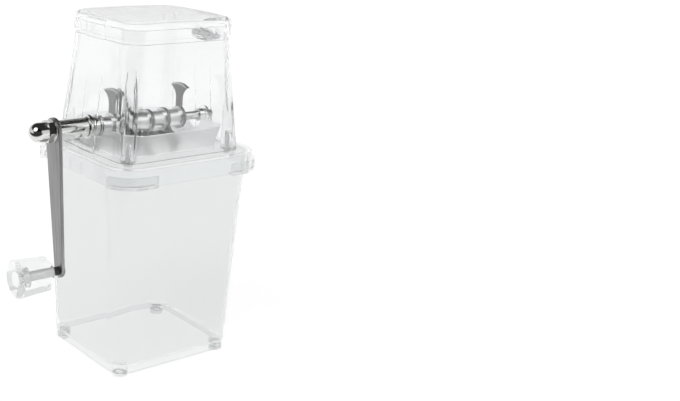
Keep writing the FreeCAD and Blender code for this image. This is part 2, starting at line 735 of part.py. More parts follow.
# ---------------------------------------------------------------------------------------------
# Bearings through the hopper's end walls, and the thrust washer inside the crank's one
# ---------------------------------------------------------------------------------------------
left_bush = turned_along_x("left_bush", [
    ("-bush_inner", "journal_bore"),
    ("-bush_inner", "bush_barrel_radius"),
    ("-boss_face", "bush_barrel_radius"),
    ("-boss_face", "bush_flange_radius"),
    ("-bush_face", "bush_flange_radius"),
    ("-bush_face", "journal_bore"),
])
right_bush = turned_along_x("right_bush", [
    ("bush_inner", "tail_bore"),
    ("bush_inner", "tail_bush_radius"),
    ("tail_bush_end", "tail_bush_radius"),
    ("tail_bush_end", "tail_bore"),
])
thrust_washer = turned_along_x("thrust_washer", [
    ("washer_start", "journal_bore"),
    ("washer_start", "thrust_washer_radius"),
    ("washer_end", "thrust_washer_radius"),
    ("washer_end", "journal_bore"),
])

# ---------------------------------------------------------------------------------------------
# Drive shaft: round in the bearings, square where the blades and the crank arm sit. A clip in a
# groove holds the thrust washer, and another one closes the stack of blades.
# ---------------------------------------------------------------------------------------------


def tube(name, radii, ends):
    """A tube round the shaft's axis, between two radii and two ends."""
    bore = cylinder(name + "_bore", "x", radii[0], ends, z="axis_height")
    return cut(name, cylinder(name + "_bar", "x", radii[1], ends, z="axis_height"), [bore])


SQUARE_Y = ("-core_half", "core_half")
SQUARE_Z = ("axis_height - core_half", "axis_height + core_half")
shaft_solid = fuse("shaft_solid", [
    cylinder("shaft_journal", "x", "journal_radius", ("-arm_seat", "blade_start"), z="axis_height"),
    cylinder("shaft_tail", "x", "tail_radius", ("blade_end - lap", "tail_end"), z="axis_height"),
    cylinder("shaft_thread", "x", "thread_radius", ("-thread_end", "-arm_face"), z="axis_height"),
    box("shaft_core", ("blade_start", "blade_end"), SQUARE_Y, SQUARE_Z),
    box("shaft_tang", ("-arm_face", "-arm_seat"), SQUARE_Y, SQUARE_Z),
])
CLIP_SEATS = {"washer": ("washer_end", "journal_radius"), "stack": ("blade_end", "tail_radius")}
grooves = []
clips = []
for seat_name, (seat, bar) in CLIP_SEATS.items():
    ends = (seat, f"{seat} + clip_thickness")
    grooves.append(tube(seat_name + "_groove", (f"{bar} - clip_groove", f"{bar} + lap"), ends))
    ring = tube(seat_name + "_ring", (f"{bar} - clip_groove + fit_gap", f"{bar} + clip_rise"), ends)
    opening = box(seat_name + "_clip_opening", ends, ("-clip_opening / 2", "clip_opening / 2"),
                  ("axis_height", f"axis_height + {bar} + clip_rise"))
    clips.append(cut(seat_name + "_clip", ring, [opening]))
drive_shaft = cut("drive_shaft", shaft_solid, grooves)
retaining_clips = group("retaining_clips", clips)

# ---------------------------------------------------------------------------------------------
# Blades: five stamped fishtails on round hubs, set at different turns on the square shaft,
# with a round spacer between each two
# ---------------------------------------------------------------------------------------------
shaft_socket = box("shaft_socket", ("blade_start - lap", "blade_end + lap"), ("-blade_bore", "blade_bore"),
                   ("axis_height - blade_bore", "axis_height + blade_bore"))


def fishtail(body, name):
    """The outline of a blade that points up: a straight neck, two hollow flanks and a curved edge."""
    sketch = sketch_on(body, "YZ_Plane", name)
    tip_half, neck_half = SIZES["blade_tip_half_width"], SIZES["blade_neck_half_width"]
    tip, flank, level = SIZES["blade_tip_radius"], SIZES["blade_flank_radius"], SIZES["blade_neck_top"]
    corner_level = SIZES["blade_reach"] - tip + math.sqrt(tip ** 2 - tip_half ** 2)
    left_tip, right_tip = (FreeCAD.Vector(side * tip_half, corner_level, 0) for side in SIDES)
    left_neck, right_neck = (FreeCAD.Vector(side * neck_half, level, 0) for side in SIDES)
    left_foot, right_foot = (FreeCAD.Vector(side * neck_half, 0, 0) for side in SIDES)
    span_arc(sketch, right_tip, left_tip, tip)
    span_arc(sketch, left_neck, left_tip, flank)
    for start, end in ((left_neck, left_foot), (left_foot, right_foot), (right_foot, right_neck)):
        sketch.addGeometry(Part.LineSegment(start, end))
    span_arc(sketch, right_tip, right_neck, flank)
    for first, first_end, second, second_end in ((0, 2, 1, 2), (1, 1, 2, 1), (2, 2, 3, 1), (3, 2, 4, 1),
                                                 (4, 2, 5, 2), (5, 1, 0, 1)):
        sketch.addConstraint(Sketcher.Constraint("Coincident", first, first_end, second, second_end))
    set_radius(sketch, "tip", 0, "blade_tip_radius")
    set_radius(sketch, "left_flank", 1, "blade_flank_radius")
    set_radius(sketch, "right_flank", 5, "blade_flank_radius")
    pin_point(sketch, "tip_centre", 0, 3, "0", "blade_reach - blade_tip_radius")
    pin_point(sketch, "left_neck", 2, 1, "-blade_neck_half_width", "blade_neck_top")
    pin_point(sketch, "left_foot", 3, 1, "-blade_neck_half_width", "0")
    pin_point(sketch, "right_foot", 4, 1, "blade_neck_half_width", "0")
    pin_point(sketch, "right_neck", 4, 2, "blade_neck_half_width", "blade_neck_top")
    tips = (("right_tip", 1, "blade_tip_half_width"), ("left_tip", 2, "-blade_tip_half_width"))
    for title, end, text in tips:
        drawn = sketch.getPoint(0, end).x
        tie(sketch, title, Sketcher.Constraint("DistanceX", -1, 1, 0, end, drawn), text)
    return sketch


blades = []
spacers = []
blade_count = int(SIZES["blade_count"])
for number in range(1, blade_count + 1):
    near_side = f"blade_start + {number - 1} * blade_pitch"
    blank = new_body(f"blade_blank_{number}")
    pad(blank, fishtail(blank, f"fishtail_{number}"), "blade_thickness")
    pad(blank, disc(blank, "YZ_Plane", f"hub_{number}", "blade_hub_radius"), "blade_thickness")
    place(tilt(blank, f"blade_angle_{number}"), x=near_side, z="axis_height")
    blades.append(cut(f"blade_{number}", blank, [shaft_socket]))
    if number < blade_count:
        spacers.append(tube(f"spacer_{number}", ("spacer_bore", "spacer_radius"),
                            (f"{near_side} + blade_thickness", f"{near_side} + blade_pitch")))

# ---------------------------------------------------------------------------------------------
# Crank: a sleeve over the shaft, a flat arm on the shaft's square tang, a washer and a cap nut
# ---------------------------------------------------------------------------------------------
crank_sleeve = turned_along_x("crank_sleeve", [
    ("-sleeve_start", "journal_bore"),
    ("-sleeve_start", "crank_sleeve_radius - sleeve_chamfer"),
    ("-sleeve_start - sleeve_chamfer", "crank_sleeve_radius"),
    ("-arm_seat + sleeve_chamfer", "crank_sleeve_radius"),
    ("-arm_seat", "crank_sleeve_radius - sleeve_chamfer"),
    ("-arm_seat", "journal_bore"),
])

arm_blank = new_body("arm_blank")
arm_outline = sketch_on(arm_blank, "YZ_Plane", "arm_outline")
eye, toe, reach = SIZES["arm_eye_radius"], SIZES["arm_toe_radius"], SIZES["crank_radius"]
taper = math.degrees(math.asin((eye - toe) / reach))
add_arc(arm_outline, (0, 0), eye, taper, 180 - taper)
add_arc(arm_outline, (0, -reach), toe, 180 - taper, 360 + taper)
for arc, next_arc in ((0, 1), (1, 0)):
    start, end = arm_outline.getPoint(arc, 2), arm_outline.getPoint(next_arc, 1)
    arm_outline.addGeometry(Part.LineSegment(start, end))
for first, second in ((0, 2), (2, 1), (1, 3), (3, 0)):
    arm_outline.addConstraint(Sketcher.Constraint("Tangent", first, 2, second, 1))
set_radius(arm_outline, "eye", 0, "arm_eye_radius")
set_radius(arm_outline, "toe", 1, "arm_toe_radius")
pin_point(arm_outline, "eye_centre", 0, 3, "0", "0")
pin_point(arm_outline, "toe_centre", 1, 3, "0", "-crank_radius")
pad(arm_blank, arm_outline, "arm_thickness")
place(tilt(arm_blank, "-crank_lean"), x="-arm_face", z="axis_height")
tang_socket = box("tang_socket", ("-arm_face", "-arm_seat"), ("-blade_bore", "blade_bore"),
                  ("axis_height - blade_bore", "axis_height + blade_bore"))
pin_socket = cylinder("pin_socket", "x", "knob_pin_radius + fit_gap", ("-arm_face", "-arm_seat"),
                      y="knob_y", z="knob_z")
crank_arm = cut("crank_arm", arm_blank, [tang_socket, pin_socket])

crank_washer = tube("crank_washer", ("thread_radius + fit_gap", "nut_washer_radius"),
                    ("-nut_seat", "-arm_face"))

# The nut stands with two corners level, so half a side of turn takes them there from upright.
nut_prism = doc.addObject("Part::Prism", "nut_prism")
nut_prism.Polygon = 6
half_side = FreeCAD.Rotation(FreeCAD.Vector(0, 0, 1), 180 / nut_prism.Polygon)
nut_prism.Placement = FreeCAD.Placement(FreeCAD.Vector(), TURN_TO["x"] * half_side)
bind(nut_prism, Circumradius="nut_flats / sqrt(3)", Height="nut_hex_length")
place(nut_prism, x="-nut_hex_end", z="axis_height")
nut_envelope = turned_along_x("nut_envelope", [
    ("-nut_seat", "0"),
    ("-nut_seat", "nut_flats / 2"),
    ("-nut_seat - nut_chamfer", "nut_flats / sqrt(3)"),
    ("-nut_hex_end + nut_chamfer", "nut_flats / sqrt(3)"),
    ("-nut_hex_end", "nut_flats / 2"),
    ("-nut_hex_end", "0"),
])
nut_neck = cylinder("nut_neck", "x", "nut_dome_radius", ("-nut_neck_end", "-nut_hex_end"), z="axis_height")
nut_dome = doc.addObject("Part::Sphere", "nut_dome")
bind(nut_dome, Radius="nut_dome_radius")
place(nut_dome, x="-nut_neck_end", z="axis_height")
nut_bore = cylinder("nut_bore", "x", "thread_radius + fit_gap", ("-nut_seat - nut_bore_depth", "-nut_seat"),
                    z="axis_height")
nut_solid = fuse("nut_solid", [shared("nut_hex", nut_prism, nut_envelope), nut_neck, nut_dome])
cap_nut = cut("cap_nut", nut_solid, [nut_bore])

# ---------------------------------------------------------------------------------------------
# Knob and its pin: the pin is riveted through the arm, and the knob turns between the step and
# the head of the pin
# ---------------------------------------------------------------------------------------------
knob_pin = turned_along_x("knob_pin", [
    ("-arm_seat + knob_pin_tail", "0"),
    ("-arm_seat + knob_pin_tail", "knob_pin_tail_radius"),
    ("-arm_seat", "knob_pin_tail_radius"),
    ("-arm_seat", "knob_pin_radius"),
    ("-arm_face", "knob_pin_radius"),
    ("-arm_face", "knob_pin_neck_radius"),
    ("-knob_start + seat_gap", "knob_pin_neck_radius"),
    ("-knob_start + seat_gap", "knob_pin_radius"),
    ("-knob_pocket - seat_gap", "knob_pin_radius"),
    ("-knob_pocket - seat_gap", "knob_pin_head_radius"),
    ("-knob_pocket - seat_gap - knob_pin_head", "knob_pin_head_radius"),
    ("-knob_pocket - seat_gap - knob_pin_head", "0"),
], y="knob_y", z="knob_z")
knob = turned_along_x("knob", [
    ("-knob_start", "knob_bore"),
    ("-knob_start", "knob_nose_radius"),
    ("-knob_start - knob_nose_length", "knob_inner_radius"),
    ("-knob_end + knob_edge", "knob_outer_radius"),
    ("-knob_end", "knob_outer_radius - knob_edge"),
    ("-knob_end", "knob_pocket_radius"),
    ("-knob_pocket", "knob_pocket_radius"),
    ("-knob_pocket", "knob_bore"),
], y="knob_y", z="knob_z")

# ---------------------------------------------------------------------------------------------
# Check every object, and write each piece to its own file
# ---------------------------------------------------------------------------------------------
pieces = [
    ice_container, feet, crusher_base, fixed_comb, comb_screws, hopper, hopper_screws,
    left_bush, right_bush, lid, hinge_pin, drive_shaft, thrust_washer, retaining_clips, *blades, *spacers,
    crank_sleeve, crank_arm, crank_washer, cap_nut, knob_pin, knob,
]
doc.recompute()
for item in doc.Objects:
    if "Invalid" in item.State or "Error" in item.State:
        raise RuntimeError(f"{item.Name} failed: {item.State}")
for piece in pieces:
    piece.Label = piece.Name
    if piece.Shape.isNull() or not piece.Shape.isValid():
        raise RuntimeError(f"{piece.Label} has no sound shape")
os.makedirs("parts", exist_ok=True)
for piece in pieces:
    piece.Shape.exportStep(f"parts/{piece.Label}.step")
    room = piece.Shape.BoundBox
    print(f"{piece.Label:16} {len(piece.Shape.Solids)} solids, {piece.Shape.Volume:9.1f} mm3, "
          f"x {room.XMin:7.2f} {room.XMax:7.2f}, y {room.YMin:7.2f} {room.YMax:7.2f}, "
          f"z {room.ZMin:7.2f} {room.ZMax:7.2f}")
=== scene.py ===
import json
import math

import bpy
from mathutils import Matrix, Vector

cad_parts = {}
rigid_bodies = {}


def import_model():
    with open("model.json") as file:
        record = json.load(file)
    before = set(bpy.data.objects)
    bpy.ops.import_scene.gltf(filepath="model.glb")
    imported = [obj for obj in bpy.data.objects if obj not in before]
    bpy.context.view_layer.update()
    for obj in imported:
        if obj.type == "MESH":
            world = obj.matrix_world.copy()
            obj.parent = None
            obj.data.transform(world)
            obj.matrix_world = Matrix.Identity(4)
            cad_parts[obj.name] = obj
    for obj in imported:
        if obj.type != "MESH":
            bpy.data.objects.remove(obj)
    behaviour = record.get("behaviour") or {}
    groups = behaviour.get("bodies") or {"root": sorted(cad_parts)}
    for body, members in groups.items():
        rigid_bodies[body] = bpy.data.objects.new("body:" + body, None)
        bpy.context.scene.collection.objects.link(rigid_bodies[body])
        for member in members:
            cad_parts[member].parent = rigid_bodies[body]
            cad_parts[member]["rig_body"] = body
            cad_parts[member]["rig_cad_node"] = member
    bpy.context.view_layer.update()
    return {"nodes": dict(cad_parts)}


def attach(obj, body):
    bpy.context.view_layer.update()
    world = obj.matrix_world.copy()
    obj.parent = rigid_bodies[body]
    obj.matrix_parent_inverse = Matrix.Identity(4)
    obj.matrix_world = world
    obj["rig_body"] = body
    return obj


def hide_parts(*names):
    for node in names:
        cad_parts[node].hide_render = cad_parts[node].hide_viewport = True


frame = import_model()
nodes = frame["nodes"]
MM = 0.001

# ------------------------------------------------------------------------------------------------
# Tub. One injection moulding in clear SAN that catches the ice and carries the head. It comes from
# a polished mould, so it is glass clear with a faint grey cast, slight sinks and softened edges. Its
# floor is given a paler tint than its walls: painted light that makes up for the shade on the ground
# under the tub.
# ------------------------------------------------------------------------------------------------


def linear(hex_colour):
    """A linear colour from an sRGB hex value."""
    parts = [int(hex_colour[start:start + 2], 16) / 255 for start in (0, 2, 4)]
    return [part / 12.92 if part <= 0.04045 else ((part + 0.055) / 1.055) ** 2.4 for part in parts] + [1.0]


def add_node(material, kind, values=(), links=(), **attributes):
    """Add a node with its settings, its input values and the sockets that feed it."""
    tree = material.node_tree
    node = tree.nodes.new(kind)
    for name, value in attributes.items():
        setattr(node, name, value)
    for name, value in dict(values).items():
        node.inputs[name].default_value = value
    for name, socket in dict(links).items():
        tree.links.new(socket, node.inputs[name])
    return node


def new_material(name):
    """An empty material with object coordinates ready to drive its pattern."""
    material = bpy.data.materials.new(name)
    material.use_nodes = True
    material.node_tree.nodes.clear()
    return material, add_node(material, "ShaderNodeTexCoord").outputs["Object"]


def clear_moulding(name, tint, cast, sink_width, sink_depth, roughness, index, leak, clarity=1.0):
    """
    Clear moulded plastic. The tint is what a surface takes from the view, the cast the grey of a
    thick section, and clarity the share that isn't milky. Light for what stands inside or below
    passes almost freely, as it does through thin clear walls. A view that the plastic would keep
    inside gets out by the leak, so edges are grey and not black.
    """
    material, place = new_material(name)
    sinks = add_node(material, "ShaderNodeTexNoise", {"Scale": 1 / (sink_width * MM), "Detail": 2.0},
                     {"Vector": place})
    relief = add_node(material, "ShaderNodeBump", {"Strength": 1.0, "Distance": sink_depth * MM},
                      {"Height": sinks.outputs["Fac"]})
    surface = add_node(material, "ShaderNodeBsdfPrincipled",
                       {"Base Color": linear(tint), "Roughness": roughness, "IOR": index,
                        "Transmission Weight": clarity},
                       {"Normal": relief.outputs["Normal"]})
    rays = add_node(material, "ShaderNodeLightPath")
    lighting = add_node(material, "ShaderNodeMath",
                        links=[(0, rays.outputs["Is Shadow Ray"]), (1, rays.outputs["Is Diffuse Ray"])],
                        operation="MAXIMUM")
    side = add_node(material, "ShaderNodeNewGeometry")
    kept_in = add_node(material, "ShaderNodeFresnel", {"IOR": index})
    leaving = add_node(material, "ShaderNodeMath",
                       links=[(0, kept_in.outputs[0]), (1, side.outputs["Backfacing"])],
                       operation="MULTIPLY")
    leaked = add_node(material, "ShaderNodeMath", {1: leak}, {0: leaving.outputs[0]}, operation="MULTIPLY")
    passing = add_node(material, "ShaderNodeMath", links=[(0, lighting.outputs[0]), (1, leaked.outputs[0])],
                       operation="MAXIMUM")
    thin_wall = add_node(material, "ShaderNodeBsdfTransparent", {"Color": linear("FEFEFE")})
    mixed = add_node(material, "ShaderNodeMixShader",
                     links=[(0, passing.outputs[0]), (1, surface.outputs[0]), (2, thin_wall.outputs[0])])
    depth = add_node(material, "ShaderNodeVolumeAbsorption", {"Color": linear("E8E9E9"), "Density": cast})
    add_node(material, "ShaderNodeOutputMaterial",
             links={"Surface": mixed.outputs[0], "Volume": depth.outputs["Volume"]})
    return material


# Points closer than this, in millimetres, are one point.
ONE_POINT = 0.002
# In degrees: faces nearer to flat than the first are one face, corners sharper than the second are
# rounded, and gentler ones than the third are shown as one curve.
ONE_FACE = 0.2
ROUNDED_CORNER = 40
SMOOTH_CORNER = 32


def refined(node, body, material, edge):
    """
    A CAD node as one smooth skin: its triangles are joined, its flat faces made whole and its sharp
    edges rounded by the edge width in millimetres, or left sharp at zero.
    """
    piece = nodes[node].copy()
    piece.data = nodes[node].data.copy()
    piece.name = node + "_finished"
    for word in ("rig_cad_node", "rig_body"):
        if word in piece:
            del piece[word]
    piece.parent = None
    bpy.context.scene.collection.objects.link(piece)
    bpy.ops.object.select_all(action="DESELECT")
    piece.select_set(True)
    bpy.context.view_layer.objects.active = piece
    bpy.ops.mesh.customdata_custom_splitnormals_clear()
    bpy.ops.object.mode_set(mode="EDIT")
    bpy.ops.mesh.select_all(action="SELECT")
    bpy.ops.mesh.remove_doubles(threshold=ONE_POINT * MM)
    bpy.ops.mesh.dissolve_limited(angle_limit=math.radians(ONE_FACE))
    bpy.ops.object.mode_set(mode="OBJECT")
    if edge:
        rounding = piece.modifiers.new("soft_edge", "BEVEL")
        rounding.width = edge * MM
        rounding.segments = 2
        rounding.limit_method = "ANGLE"
        rounding.angle_limit = math.radians(ROUNDED_CORNER)
        rounding.use_clamp_overlap = False
        bpy.ops.object.modifier_apply(modifier="soft_edge")
    bpy.ops.object.shade_smooth_by_angle(angle=math.radians(SMOOTH_CORNER))
    flats = piece.modifiers.new("true_flats", "WEIGHTED_NORMAL")
    flats.keep_sharp = True
    flats.weight = 100
    bpy.ops.object.modifier_apply(modifier="true_flats")
    piece.data.materials.clear()
    piece.data.materials.append(material)
    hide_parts(node)
    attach(piece, body)
    return piece


FLOOR_UNDERSIDE = 7.2
FLOOR_TOP = 9.4

tub_san = clear_moulding("polished_clear_san_tub", tint="F1F2F2", cast=10, sink_width=26,
                         sink_depth=0.02, roughness=0.03, index=1.22, leak=0.8)
tub_place = add_node(tub_san, "ShaderNodeTexCoord").outputs["Object"]
tub_height = add_node(tub_san, "ShaderNodeSeparateXYZ", links={"Vector": tub_place})
# The tub's floor is tinted paler than its walls, painted light that offsets the shade on the ground beneath
# it.
in_floor = add_node(tub_san, "ShaderNodeMath",
                    {1: (FLOOR_UNDERSIDE + FLOOR_TOP) / 2 * MM,
                     2: (FLOOR_TOP - FLOOR_UNDERSIDE + 1) / 2 * MM},
                    {0: tub_height.outputs["Z"]}, operation="COMPARE")
facing = add_node(tub_san, "ShaderNodeNewGeometry")
facing_axes = add_node(tub_san, "ShaderNodeSeparateXYZ", links={"Vector": facing.outputs["Normal"]})
level = add_node(tub_san, "ShaderNodeMath", links={0: facing_axes.outputs["Z"]}, operation="ABSOLUTE")
floor_painted_light_share = add_node(tub_san, "ShaderNodeMath",
                       links=[(0, in_floor.outputs[0]), (1, level.outputs[0])], operation="MULTIPLY")
tub_tint_with_painted_light = add_node(tub_san, "ShaderNodeMix", {6: linear("F1F2F2"), 7: linear("FDFEFE")},
                    {0: floor_painted_light_share.outputs[0]}, data_type="RGBA")
tub_san.node_tree.links.new(tub_tint_with_painted_light.outputs[2],
                            tub_san.node_tree.nodes["Principled BSDF"].inputs["Base Color"])
refined("ice_container", "tub", tub_san, edge=0.3)

# ------------------------------------------------------------------------------------------------
# Feet. Four soft clear vinyl buttons pushed into sockets of the plinth. Vinyl comes dull from the
# mould, so they are milky, with small uneven patches where they were trimmed.
# ------------------------------------------------------------------------------------------------
soft_vinyl = clear_moulding("satin_clear_vinyl", tint="FAFBFB", cast=10, sink_width=1.5, sink_depth=0.01,
                            roughness=0.3, index=1.25, leak=0.8, clarity=0.75)
refined("feet", "tub", soft_vinyl, edge=0.5)

# ------------------------------------------------------------------------------------------------
# Crusher base. A collar that clips over the tub's mouth, with the funnel round the blades, moulded
# in clear SAN. The collar is polished and shows soft streaks. The mould is finely textured round the
# blades, so the funnel above the deck looks frosted and veils what is behind it.
# ------------------------------------------------------------------------------------------------
DECK = 156.2

base_san = clear_moulding("part_frosted_clear_san", tint="FDFEFE", cast=4, sink_width=8, sink_depth=0.02,
                          roughness=0.1, index=1.22, leak=0.9)
base_surface = base_san.node_tree.nodes["Principled BSDF"]
base_place = add_node(base_san, "ShaderNodeTexCoord").outputs["Object"]
base_height = add_node(base_san, "ShaderNodeSeparateXYZ", links={"Vector": base_place})
frosted = add_node(base_san, "ShaderNodeMapRange", {"From Min": DECK * MM, "From Max": (DECK + 0.4) * MM},
                   {"Value": base_height.outputs["Z"]})
texture_dull = add_node(base_san, "ShaderNodeMapRange", {"To Min": 0.12, "To Max": 0.36},
                        {"Value": frosted.outputs[0]})
texture_clarity = add_node(base_san, "ShaderNodeMapRange", {"To Min": 0.96, "To Max": 0.74},
                           {"Value": frosted.outputs[0]})
base_san.node_tree.links.new(texture_dull.outputs[0], base_surface.inputs["Roughness"])
base_san.node_tree.links.new(texture_clarity.outputs[0], base_surface.inputs["Transmission Weight"])
refined("crusher_base", "head", base_san, edge=0.2)

# ------------------------------------------------------------------------------------------------
# Comb. A bar of stainless steel with six teeth, pressed and then ground along its length, so the
# grinding lines run with the bar. Two zinc plated pan head screws hold it under the deck.
# ------------------------------------------------------------------------------------------------


def brushed_steel(name, colour, line_size, lean=0.0, shine=(0.28, 0.48)):
    """Steel brushed one way: the lines are long and thin, and each one is a little lighter or duller."""
    material, place = new_material(name)
    lines = add_node(material, "ShaderNodeMapping",
                     {"Rotation": (math.radians(lean), 0, 0), "Scale": [size * MM for size in line_size]},
                     {"Vector": place}, vector_type="TEXTURE")
    grain = add_node(material, "ShaderNodeTexNoise", {"Scale": 1.0, "Detail": 3.0, "Roughness": 0.6},
                     {"Vector": lines.outputs[0]})
    tone = add_node(material, "ShaderNodeMapRange",
                    {"From Min": 0.3, "From Max": 0.7, "To Min": 0.62, "To Max": 1.05},
                    {"Value": grain.outputs["Fac"]})
    lit = add_node(material, "ShaderNodeVectorMath", {0: linear(colour)[:3]}, {1: tone.outputs[0]},
                   operation="MULTIPLY")
    dullness = add_node(material, "ShaderNodeMapRange", {"To Min": shine[0], "To Max": shine[1]},
                        {"Value": grain.outputs["Fac"]})
    groove = add_node(material, "ShaderNodeBump", {"Strength": 0.6, "Distance": 0.01 * MM},
                      {"Height": grain.outputs["Fac"]})
    surface = add_node(material, "ShaderNodeBsdfPrincipled", {"Metallic": 1.0},
                       {"Base Color": lit.outputs[0], "Roughness": dullness.outputs[0],
                        "Normal": groove.outputs["Normal"]})
    add_node(material, "ShaderNodeOutputMaterial", links={"Surface": surface.outputs["BSDF"]})
    return material


# The real lines are some 0.05 mm apart, too fine to show, so they are drawn at 0.4 mm.
ground_steel = brushed_steel("ground_stainless_comb", colour="B4B4B4", line_size=(28, 0.4, 0.4))
refined("fixed_comb", "head", ground_steel, edge=0.2)

zinc, zinc_place = new_material("pale_zinc_plate")
spangle = add_node(zinc, "ShaderNodeTexNoise", {"Scale": 1 / (1.2 * MM), "Detail": 2.0},
                   {"Vector": zinc_place})
zinc_dull = add_node(zinc, "ShaderNodeMapRange", {"To Min": 0.42, "To Max": 0.6},
                     {"Value": spangle.outputs["Fac"]})
zinc_surface = add_node(zinc, "ShaderNodeBsdfPrincipled", {"Base Color": linear("ECEDEE"), "Metallic": 0.35},
                        {"Roughness": zinc_dull.outputs[0]})
add_node(zinc, "ShaderNodeOutputMaterial", links={"Surface": zinc_surface.outputs["BSDF"]})
refined("comb_screws", "head", zinc, edge=0.3)

# ------------------------------------------------------------------------------------------------
# Hopper. The clear SAN shaft that guides the ice down to the blades, held by four zinc plated
# screws from below. It comes from a polished mould and shows only its posts, rim and corners.
# ------------------------------------------------------------------------------------------------
head_san = clear_moulding("polished_clear_san_hopper", tint="FBFCFC", cast=20, sink_width=22,
                          sink_depth=0.02, roughness=0.02, index=1.5, leak=0.35)
refined("hopper", "head", head_san, edge=0.1)
refined("hopper_screws", "head", zinc, edge=0.3)

# ------------------------------------------------------------------------------------------------
# Bearings. Two turned brass bushes pressed into the end walls, nickel plated: mirror bright, with
# a slight ripple where the plate follows the turning under it.
# ------------------------------------------------------------------------------------------------
nickel, nickel_place = new_material("bright_nickel_plate")
ripple = add_node(nickel, "ShaderNodeTexNoise", {"Scale": 1 / (6 * MM), "Detail": 1.0},
                  {"Vector": nickel_place})
ripple_relief = add_node(nickel, "ShaderNodeBump", {"Strength": 1.0, "Distance": 0.004 * MM},
                         {"Height": ripple.outputs["Fac"]})
wiping = add_node(nickel, "ShaderNodeTexNoise", {"Scale": 1 / (0.8 * MM), "Detail": 2.0},
                  {"Vector": nickel_place})
wiped = add_node(nickel, "ShaderNodeMapRange", {"To Min": 0.04, "To Max": 0.1},
                 {"Value": wiping.outputs["Fac"]})
plate = add_node(nickel, "ShaderNodeBsdfPrincipled", {"Base Color": linear("E0E0DE"), "Metallic": 1.0},
                 {"Roughness": wiped.outputs[0], "Normal": ripple_relief.outputs["Normal"]})
add_node(nickel, "ShaderNodeOutputMaterial", links={"Surface": plate.outputs["BSDF"]})
for bush in ("left_bush", "right_bush"):
    refined(bush, "head", nickel, edge=0.2)

# ------------------------------------------------------------------------------------------------
# Shaft, thrust washer and clips. The shaft is turned from steel bar and milled square where the
# blades sit. The turning tool leaves fine rings, so light spreads along the shaft.
# ------------------------------------------------------------------------------------------------


def turned_steel(name, colour, ring_width, shine):
    """Steel turned about the shaft's axis, with a ring wherever the tool slowed or sped up."""
    material, place = new_material(name)
    rings = add_node(material, "ShaderNodeMapping", {"Scale": (ring_width * MM, 1.0, 1.0)},
                     {"Vector": place}, vector_type="TEXTURE")
    feed = add_node(material, "ShaderNodeTexNoise", {"Scale": 1.0, "Detail": 2.0},
                    {"Vector": rings.outputs[0]})
    dullness = add_node(material, "ShaderNodeMapRange", {"To Min": shine[0], "To Max": shine[1]},
                        {"Value": feed.outputs["Fac"]})
    groove = add_node(material, "ShaderNodeBump", {"Strength": 0.7, "Distance": 0.01 * MM},
                      {"Height": feed.outputs["Fac"]})
    surface = add_node(material, "ShaderNodeBsdfPrincipled", {"Base Color": linear(colour), "Metallic": 1.0},
                       {"Roughness": dullness.outputs[0], "Normal": groove.outputs["Normal"]})
    add_node(material, "ShaderNodeOutputMaterial", links={"Surface": surface.outputs["BSDF"]})
    return material


# The tool moved about 0.1 mm a turn, too fine to show, so the rings are drawn at 0.35 mm.
shaft_steel = turned_steel("turned_steel_shaft", colour="D4D4D4", ring_width=0.35, shine=(0.16, 0.3))
# The outlines of the shaft's square and round parts nearly touch, and rounding folds the face between
# them, so the shaft's edges stay sharp.
for turned_piece, edge in (("drive_shaft", 0), ("thrust_washer", 0.15), ("retaining_clips", 0.15)):
    refined(turned_piece, "crank", shaft_steel, edge)

# ------------------------------------------------------------------------------------------------
# Blades. Five fishtails stamped from steel sheet and slid on the square at different turns. The
# sheet is dull grey. The hub, ground flat to run on the spacers, and the ground tips are brighter.
# ------------------------------------------------------------------------------------------------
AXIS_HEIGHT = 173.0
HUB_RADIUS = 8.1
GROUND_EDGE = 23.6

stamped, stamped_place = new_material("stamped_steel_blades")
from_axis = add_node(stamped, "ShaderNodeMapping",
                     {"Location": (0, 0, -AXIS_HEIGHT * MM), "Scale": (0, 1, 1)},
                     {"Vector": stamped_place})
reach = add_node(stamped, "ShaderNodeVectorMath", links={0: from_axis.outputs[0]}, operation="LENGTH")
hub = add_node(stamped, "ShaderNodeMapRange",
               {"From Min": (HUB_RADIUS - 0.3) * MM, "From Max": HUB_RADIUS * MM,
                "To Min": 1.0, "To Max": 0.0},
               {"Value": reach.outputs["Value"]})
ground = add_node(stamped, "ShaderNodeMapRange",
                  {"From Min": GROUND_EDGE * MM, "From Max": (GROUND_EDGE + 0.5) * MM, "To Max": 0.6},
                  {"Value": reach.outputs["Value"]})
worked = add_node(stamped, "ShaderNodeMath", links=[(0, hub.outputs[0]), (1, ground.outputs[0])],
                  operation="MAXIMUM")
scale_grain = add_node(stamped, "ShaderNodeTexNoise", {"Scale": 1 / (0.5 * MM), "Detail": 3.0},
                       {"Vector": stamped_place})
sheet_tone = add_node(stamped, "ShaderNodeMapRange", {"From Min": 0.3, "From Max": 0.7, "To Min": 0.88},
                      {"Value": scale_grain.outputs["Fac"]})
sheet_grey = add_node(stamped, "ShaderNodeVectorMath", {0: linear("969696")[:3]}, {1: sheet_tone.outputs[0]},
                      operation="MULTIPLY")
blade_colour = add_node(stamped, "ShaderNodeMix", {7: linear("E6E6E6")},
                        {0: worked.outputs[0], 6: sheet_grey.outputs[0]}, data_type="RGBA")
blade_dull = add_node(stamped, "ShaderNodeMapRange", {"To Min": 0.42, "To Max": 0.3},
                      {"Value": worked.outputs[0]})
scale_relief = add_node(stamped, "ShaderNodeBump", {"Strength": 0.5, "Distance": 0.02 * MM},
                        {"Height": scale_grain.outputs["Fac"]})
stamped_surface = add_node(stamped, "ShaderNodeBsdfPrincipled", {"Metallic": 1.0},
                           {"Base Color": blade_colour.outputs[2], "Roughness": blade_dull.outputs[0],
                            "Normal": scale_relief.outputs["Normal"]})
add_node(stamped, "ShaderNodeOutputMaterial", links={"Surface": stamped_surface.outputs["BSDF"]})
for blade in sorted(name for name in nodes if name.startswith("blade_")):
    refined(blade, "crank", stamped, edge=0.2)

